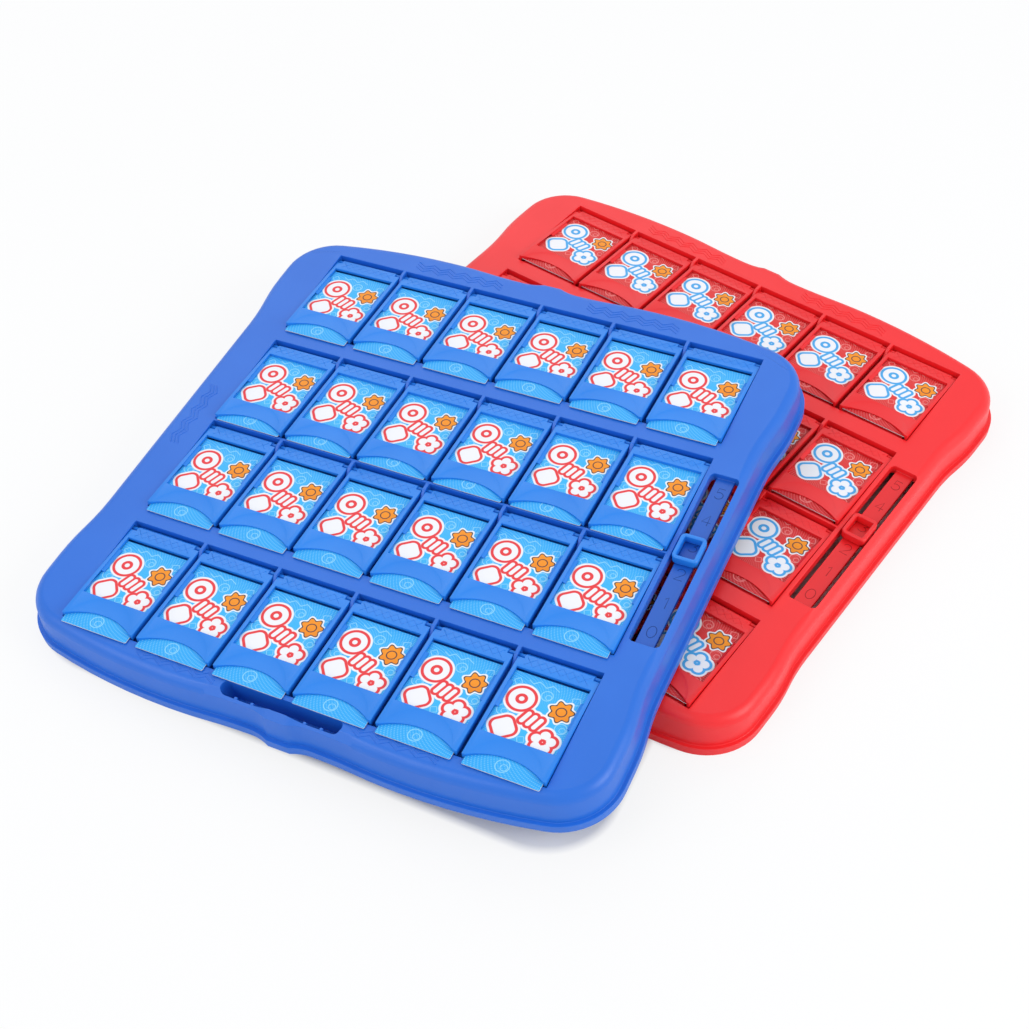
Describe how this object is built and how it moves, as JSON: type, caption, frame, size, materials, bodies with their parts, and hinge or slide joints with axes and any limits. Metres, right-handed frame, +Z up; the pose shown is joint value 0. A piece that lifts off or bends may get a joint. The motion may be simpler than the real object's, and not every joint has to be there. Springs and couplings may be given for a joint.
{
  "type": "face guessing flip game",
  "caption": "Two matching guessing-game boards, one leaning on the other, with rows of hinged flip frames, picture cards, a sliding score marker and a slot for a secret card.",
  "frame": {"origin": "on the table, under the middle of the two boards' bounding box", "axes": "+Z up from the table; +X along the red board's rows, towards its score slot; +Y towards the red board's far edge, where the flip frames are hinged"},
  "size_m": [0.3274, 0.3816, 0.0498],
  "materials": {
    "red_board": "smooth moulded red plastic",
    "red_frame": "smooth moulded red plastic, with a printed card behind each window",
    "blue_board": "smooth moulded blue plastic",
    "blue_frame": "smooth moulded blue plastic, with a printed card behind each window"
  },
  "bodies": {
    "red_board": {"red_tray": "red_board"},
    "red_marker": {"red_marker": "red_board"},
    "red_flip_r1c1": {"red_flip_r1c1": "red_frame"},
    "red_flip_r1c2": {"red_flip_r1c2": "red_frame"},
    "red_flip_r1c3": {"red_flip_r1c3": "red_frame"},
    "red_flip_r1c4": {"red_flip_r1c4": "red_frame"},
    "red_flip_r1c5": {"red_flip_r1c5": "red_frame"},
    "red_flip_r1c6": {"red_flip_r1c6": "red_frame"},
    "red_flip_r2c1": {"red_flip_r2c1": "red_frame"},
    "red_flip_r2c2": {"red_flip_r2c2": "red_frame"},
    "red_flip_r2c3": {"red_flip_r2c3": "red_frame"},
    "red_flip_r2c4": {"red_flip_r2c4": "red_frame"},
    "red_flip_r2c5": {"red_flip_r2c5": "red_frame"},
    "red_flip_r2c6": {"red_flip_r2c6": "red_frame"},
    "red_flip_r3c1": {"red_flip_r3c1": "red_frame"},
    "red_flip_r3c2": {"red_flip_r3c2": "red_frame"},
    "red_flip_r3c3": {"red_flip_r3c3": "red_frame"},
    "red_flip_r3c4": {"red_flip_r3c4": "red_frame"},
    "red_flip_r3c5": {"red_flip_r3c5": "red_frame"},
    "red_flip_r3c6": {"red_flip_r3c6": "red_frame"},
    "red_flip_r4c1": {"red_flip_r4c1": "red_frame"},
    "red_flip_r4c2": {"red_flip_r4c2": "red_frame"},
    "red_flip_r4c3": {"red_flip_r4c3": "red_frame"},
    "red_flip_r4c4": {"red_flip_r4c4": "red_frame"},
    "red_flip_r4c5": {"red_flip_r4c5": "red_frame"},
    "red_flip_r4c6": {"red_flip_r4c6": "red_frame"},
    "blue_board": {"blue_tray": "blue_board"},
    "blue_marker": {"blue_marker": "blue_board"},
    "blue_flip_r1c1": {"blue_flip_r1c1": "blue_frame"},
    "blue_flip_r1c2": {"blue_flip_r1c2": "blue_frame"},
    "blue_flip_r1c3": {"blue_flip_r1c3": "blue_frame"},
    "blue_flip_r1c4": {"blue_flip_r1c4": "blue_frame"},
    "blue_flip_r1c5": {"blue_flip_r1c5": "blue_frame"},
    "blue_flip_r1c6": {"blue_flip_r1c6": "blue_frame"},
    "blue_flip_r2c1": {"blue_flip_r2c1": "blue_frame"},
    "blue_flip_r2c2": {"blue_flip_r2c2": "blue_frame"},
    "blue_flip_r2c3": {"blue_flip_r2c3": "blue_frame"},
    "blue_flip_r2c4": {"blue_flip_r2c4": "blue_frame"},
    "blue_flip_r2c5": {"blue_flip_r2c5": "blue_frame"},
    "blue_flip_r2c6": {"blue_flip_r2c6": "blue_frame"},
    "blue_flip_r3c1": {"blue_flip_r3c1": "blue_frame"},
    "blue_flip_r3c2": {"blue_flip_r3c2": "blue_frame"},
    "blue_flip_r3c3": {"blue_flip_r3c3": "blue_frame"},
    "blue_flip_r3c4": {"blue_flip_r3c4": "blue_frame"},
    "blue_flip_r3c5": {"blue_flip_r3c5": "blue_frame"},
    "blue_flip_r3c6": {"blue_flip_r3c6": "blue_frame"},
    "blue_flip_r4c1": {"blue_flip_r4c1": "blue_frame"},
    "blue_flip_r4c2": {"blue_flip_r4c2": "blue_frame"},
    "blue_flip_r4c3": {"blue_flip_r4c3": "blue_frame"},
    "blue_flip_r4c4": {"blue_flip_r4c4": "blue_frame"},
    "blue_flip_r4c5": {"blue_flip_r4c5": "blue_frame"},
    "blue_flip_r4c6": {"blue_flip_r4c6": "blue_frame"}
  },
  "joints": [
    {"name": "blue_lift", "type": "slide", "parent": "red_board", "child": "blue_board", "axis": [0, 0, 1], "range_m": [0, 0.11]},
    {"name": "red_score_slide", "type": "slide", "parent": "red_board", "child": "red_marker", "axis": [0, 1, 0], "range_m": [-0.0427, 0.0349]},
    {"name": "red_flip_r1c1_hinge", "type": "hinge", "parent": "red_board", "child": "red_flip_r1c1", "pos_m": [-0.06216, 0.16949, 0.0163], "axis": [-1, 0, 0], "range_deg": [0, 98]},
    {"name": "red_flip_r1c2_hinge", "type": "hinge", "parent": "red_board", "child": "red_flip_r1c2", "pos_m": [-0.02516, 0.16949, 0.0163], "axis": [-1, 0, 0], "range_deg": [0, 98]},
    {"name": "red_flip_r1c3_hinge", "type": "hinge", "parent": "red_board", "child": "red_flip_r1c3", "pos_m": [0.01184, 0.16949, 0.0163], "axis": [-1, 0, 0], "range_deg": [0, 98]},
    {"name": "red_flip_r1c4_hinge", "type": "hinge", "parent": "red_board", "child": "red_flip_r1c4", "pos_m": [0.04884, 0.16949, 0.0163], "axis": [-1, 0, 0], "range_deg": [0, 98]},
    {"name": "red_flip_r1c5_hinge", "type": "hinge", "parent": "red_board", "child": "red_flip_r1c5", "pos_m": [0.08585, 0.16949, 0.0163], "axis": [-1, 0, 0], "range_deg": [0, 98]},
    {"name": "red_flip_r1c6_hinge", "type": "hinge", "parent": "red_board", "child": "red_flip_r1c6", "pos_m": [0.12284, 0.16949, 0.0163], "axis": [-1, 0, 0], "range_deg": [0, 98]},
    {"name": "red_flip_r2c1_hinge", "type": "hinge", "parent": "red_board", "child": "red_flip_r2c1", "pos_m": [-0.06216, 0.10499, 0.0163], "axis": [-1, 0, 0], "range_deg": [0, 98]},
    {"name": "red_flip_r2c2_hinge", "type": "hinge", "parent": "red_board", "child": "red_flip_r2c2", "pos_m": [-0.02516, 0.10499, 0.0163], "axis": [-1, 0, 0], "range_deg": [0, 98]},
    {"name": "red_flip_r2c3_hinge", "type": "hinge", "parent": "red_board", "child": "red_flip_r2c3", "pos_m": [0.01184, 0.10499, 0.0163], "axis": [-1, 0, 0], "range_deg": [0, 98]},
    {"name": "red_flip_r2c4_hinge", "type": "hinge", "parent": "red_board", "child": "red_flip_r2c4", "pos_m": [0.04884, 0.10499, 0.0163], "axis": [-1, 0, 0], "range_deg": [0, 98]},
    {"name": "red_flip_r2c5_hinge", "type": "hinge", "parent": "red_board", "child": "red_flip_r2c5", "pos_m": [0.08585, 0.10499, 0.0163], "axis": [-1, 0, 0], "range_deg": [0, 98]},
    {"name": "red_flip_r2c6_hinge", "type": "hinge", "parent": "red_board", "child": "red_flip_r2c6", "pos_m": [0.12284, 0.10499, 0.0163], "axis": [-1, 0, 0], "range_deg": [0, 98]},
    {"name": "red_flip_r3c1_hinge", "type": "hinge", "parent": "red_board", "child": "red_flip_r3c1", "pos_m": [-0.06216, 0.0487, 0.0163], "axis": [-1, 0, 0], "range_deg": [0, 98]},
    {"name": "red_flip_r3c2_hinge", "type": "hinge", "parent": "red_board", "child": "red_flip_r3c2", "pos_m": [-0.02516, 0.0487, 0.0163], "axis": [-1, 0, 0], "range_deg": [0, 98]},
    {"name": "red_flip_r3c3_hinge", "type": "hinge", "parent": "red_board", "child": "red_flip_r3c3", "pos_m": [0.01184, 0.0487, 0.0163], "axis": [-1, 0, 0], "range_deg": [0, 98]},
    {"name": "red_flip_r3c4_hinge", "type": "hinge", "parent": "red_board", "child": "red_flip_r3c4", "pos_m": [0.04884, 0.0487, 0.0163], "axis": [-1, 0, 0], "range_deg": [0, 98]},
    {"name": "red_flip_r3c5_hinge", "type": "hinge", "parent": "red_board", "child": "red_flip_r3c5", "pos_m": [0.08585, 0.0487, 0.0163], "axis": [-1, 0, 0], "range_deg": [0, 98]},
    {"name": "red_flip_r3c6_hinge", "type": "hinge", "parent": "red_board", "child": "red_flip_r3c6", "pos_m": [0.12284, 0.0487, 0.0163], "axis": [-1, 0, 0], "range_deg": [0, 98]},
    {"name": "red_flip_r4c1_hinge", "type": "hinge", "parent": "red_board", "child": "red_flip_r4c1", "pos_m": [-0.06216, -0.0157, 0.0163], "axis": [-1, 0, 0], "range_deg": [0, 98]},
    {"name": "red_flip_r4c2_hinge", "type": "hinge", "parent": "red_board", "child": "red_flip_r4c2", "pos_m": [-0.02516, -0.0157, 0.0163], "axis": [-1, 0, 0], "range_deg": [0, 98]},
    {"name": "red_flip_r4c3_hinge", "type": "hinge", "parent": "red_board", "child": "red_flip_r4c3", "pos_m": [0.01184, -0.0157, 0.0163], "axis": [-1, 0, 0], "range_deg": [0, 98]},
    {"name": "red_flip_r4c4_hinge", "type": "hinge", "parent": "red_board", "child": "red_flip_r4c4", "pos_m": [0.04884, -0.0157, 0.0163], "axis": [-1, 0, 0], "range_deg": [0, 98]},
    {"name": "red_flip_r4c5_hinge", "type": "hinge", "parent": "red_board", "child": "red_flip_r4c5", "pos_m": [0.08585, -0.0157, 0.0163], "axis": [-1, 0, 0], "range_deg": [0, 98]},
    {"name": "red_flip_r4c6_hinge", "type": "hinge", "parent": "red_board", "child": "red_flip_r4c6", "pos_m": [0.12284, -0.0157, 0.0163], "axis": [-1, 0, 0], "range_deg": [0, 98]},
    {"name": "blue_score_slide", "type": "slide", "parent": "blue_board", "child": "blue_marker", "axis": [-0.2011, 0.9778, 0.0582], "range_m": [-0.0427, 0.0349]},
    {"name": "blue_flip_r1c1_hinge", "type": "hinge", "parent": "blue_board", "child": "blue_flip_r1c1", "pos_m": [-0.12343, 0.05272, 0.03265], "axis": [-0.9781, -0.1972, -0.0668], "range_deg": [0, 98]},
    {"name": "blue_flip_r1c2_hinge", "type": "hinge", "parent": "blue_board", "child": "blue_flip_r1c2", "pos_m": [-0.08724, 0.06001, 0.03513], "axis": [-0.9781, -0.1972, -0.0668], "range_deg": [0, 98]},
    {"name": "blue_flip_r1c3_hinge", "type": "hinge", "parent": "blue_board", "child": "blue_flip_r1c3", "pos_m": [-0.05105, 0.06731, 0.0376], "axis": [-0.9781, -0.1972, -0.0668], "range_deg": [0, 98]},
    {"name": "blue_flip_r1c4_hinge", "type": "hinge", "parent": "blue_board", "child": "blue_flip_r1c4", "pos_m": [-0.01486, 0.07461, 0.04007], "axis": [-0.9781, -0.1972, -0.0668], "range_deg": [0, 98]},
    {"name": "blue_flip_r1c5_hinge", "type": "hinge", "parent": "blue_board", "child": "blue_flip_r1c5", "pos_m": [0.02133, 0.0819, 0.04254], "axis": [-0.9781, -0.1972, -0.0668], "range_deg": [0, 98]},
    {"name": "blue_flip_r1c6_hinge", "type": "hinge", "parent": "blue_board", "child": "blue_flip_r1c6", "pos_m": [0.05752, 0.0892, 0.04502], "axis": [-0.9781, -0.1972, -0.0668], "range_deg": [0, 98]},
    {"name": "blue_flip_r2c1_hinge", "type": "hinge", "parent": "blue_board", "child": "blue_flip_r2c1", "pos_m": [-0.11045, -0.01035, 0.0289], "axis": [-0.9781, -0.1972, -0.0668], "range_deg": [0, 98]},
    {"name": "blue_flip_r2c2_hinge", "type": "hinge", "parent": "blue_board", "child": "blue_flip_r2c2", "pos_m": [-0.07426, -0.00305, 0.03137], "axis": [-0.9781, -0.1972, -0.0668], "range_deg": [0, 98]},
    {"name": "blue_flip_r2c3_hinge", "type": "hinge", "parent": "blue_board", "child": "blue_flip_r2c3", "pos_m": [-0.03807, 0.00425, 0.03384], "axis": [-0.9781, -0.1972, -0.0668], "range_deg": [0, 98]},
    {"name": "blue_flip_r2c4_hinge", "type": "hinge", "parent": "blue_board", "child": "blue_flip_r2c4", "pos_m": [-0.00189, 0.01154, 0.03632], "axis": [-0.9781, -0.1972, -0.0668], "range_deg": [0, 98]},
    {"name": "blue_flip_r2c5_hinge", "type": "hinge", "parent": "blue_board", "child": "blue_flip_r2c5", "pos_m": [0.0343, 0.01884, 0.03879], "axis": [-0.9781, -0.1972, -0.0668], "range_deg": [0, 98]},
    {"name": "blue_flip_r2c6_hinge", "type": "hinge", "parent": "blue_board", "child": "blue_flip_r2c6", "pos_m": [0.07049, 0.02614, 0.04126], "axis": [-0.9781, -0.1972, -0.0668], "range_deg": [0, 98]},
    {"name": "blue_flip_r3c1_hinge", "type": "hinge", "parent": "blue_board", "child": "blue_flip_r3c1", "pos_m": [-0.09913, -0.06539, 0.02562], "axis": [-0.9781, -0.1972, -0.0668], "range_deg": [0, 98]},
    {"name": "blue_flip_r3c2_hinge", "type": "hinge", "parent": "blue_board", "child": "blue_flip_r3c2", "pos_m": [-0.06294, -0.0581, 0.02809], "axis": [-0.9781, -0.1972, -0.0668], "range_deg": [0, 98]},
    {"name": "blue_flip_r3c3_hinge", "type": "hinge", "parent": "blue_board", "child": "blue_flip_r3c3", "pos_m": [-0.02675, -0.0508, 0.03057], "axis": [-0.9781, -0.1972, -0.0668], "range_deg": [0, 98]},
    {"name": "blue_flip_r3c4_hinge", "type": "hinge", "parent": "blue_board", "child": "blue_flip_r3c4", "pos_m": [0.00944, -0.0435, 0.03304], "axis": [-0.9781, -0.1972, -0.0668], "range_deg": [0, 98]},
    {"name": "blue_flip_r3c5_hinge", "type": "hinge", "parent": "blue_board", "child": "blue_flip_r3c5", "pos_m": [0.04563, -0.03621, 0.03551], "axis": [-0.9781, -0.1972, -0.0668], "range_deg": [0, 98]},
    {"name": "blue_flip_r3c6_hinge", "type": "hinge", "parent": "blue_board", "child": "blue_flip_r3c6", "pos_m": [0.08182, -0.02891, 0.03798], "axis": [-0.9781, -0.1972, -0.0668], "range_deg": [0, 98]},
    {"name": "blue_flip_r4c1_hinge", "type": "hinge", "parent": "blue_board", "child": "blue_flip_r4c1", "pos_m": [-0.08618, -0.12836, 0.02187], "axis": [-0.9781, -0.1972, -0.0668], "range_deg": [0, 98]},
    {"name": "blue_flip_r4c2_hinge", "type": "hinge", "parent": "blue_board", "child": "blue_flip_r4c2", "pos_m": [-0.04999, -0.12107, 0.02434], "axis": [-0.9781, -0.1972, -0.0668], "range_deg": [0, 98]},
    {"name": "blue_flip_r4c3_hinge", "type": "hinge", "parent": "blue_board", "child": "blue_flip_r4c3", "pos_m": [-0.0138, -0.11377, 0.02682], "axis": [-0.9781, -0.1972, -0.0668], "range_deg": [0, 98]},
    {"name": "blue_flip_r4c4_hinge", "type": "hinge", "parent": "blue_board", "child": "blue_flip_r4c4", "pos_m": [0.02239, -0.10647, 0.02929], "axis": [-0.9781, -0.1972, -0.0668], "range_deg": [0, 98]},
    {"name": "blue_flip_r4c5_hinge", "type": "hinge", "parent": "blue_board", "child": "blue_flip_r4c5", "pos_m": [0.05858, -0.09917, 0.03176], "axis": [-0.9781, -0.1972, -0.0668], "range_deg": [0, 98]},
    {"name": "blue_flip_r4c6_hinge", "type": "hinge", "parent": "blue_board", "child": "blue_flip_r4c6", "pos_m": [0.09477, -0.09188, 0.03424], "axis": [-0.9781, -0.1972, -0.0668], "range_deg": [0, 98]}
  ],
  "couplings": [
    {"joint": "red_flip_r2c1_hinge", "follows": "blue_lift", "rad_per_m": 15.54},
    {"joint": "red_flip_r2c2_hinge", "follows": "blue_lift", "rad_per_m": 15.54},
    {"joint": "red_flip_r2c3_hinge", "follows": "blue_lift", "rad_per_m": 15.54},
    {"joint": "red_flip_r2c4_hinge", "follows": "blue_lift", "rad_per_m": 15.54},
    {"joint": "red_flip_r2c5_hinge", "follows": "blue_lift", "rad_per_m": 15.54},
    {"joint": "red_flip_r3c1_hinge", "follows": "blue_lift", "rad_per_m": 15.54},
    {"joint": "red_flip_r3c2_hinge", "follows": "blue_lift", "rad_per_m": 15.54},
    {"joint": "red_flip_r3c3_hinge", "follows": "blue_lift", "rad_per_m": 15.54},
    {"joint": "red_flip_r3c4_hinge", "follows": "blue_lift", "rad_per_m": 15.54},
    {"joint": "red_flip_r3c5_hinge", "follows": "blue_lift", "rad_per_m": 15.54},
    {"joint": "red_flip_r3c6_hinge", "follows": "blue_lift", "rad_per_m": 15.54},
    {"joint": "red_flip_r4c1_hinge", "follows": "blue_lift", "rad_per_m": 15.54},
    {"joint": "red_flip_r4c2_hinge", "follows": "blue_lift", "rad_per_m": 15.54},
    {"joint": "red_flip_r4c3_hinge", "follows": "blue_lift", "rad_per_m": 15.54},
    {"joint": "red_flip_r4c4_hinge", "follows": "blue_lift", "rad_per_m": 15.54},
    {"joint": "red_flip_r4c5_hinge", "follows": "blue_lift", "rad_per_m": 15.54},
    {"joint": "red_flip_r4c6_hinge", "follows": "blue_lift", "rad_per_m": 15.54}
  ]
}
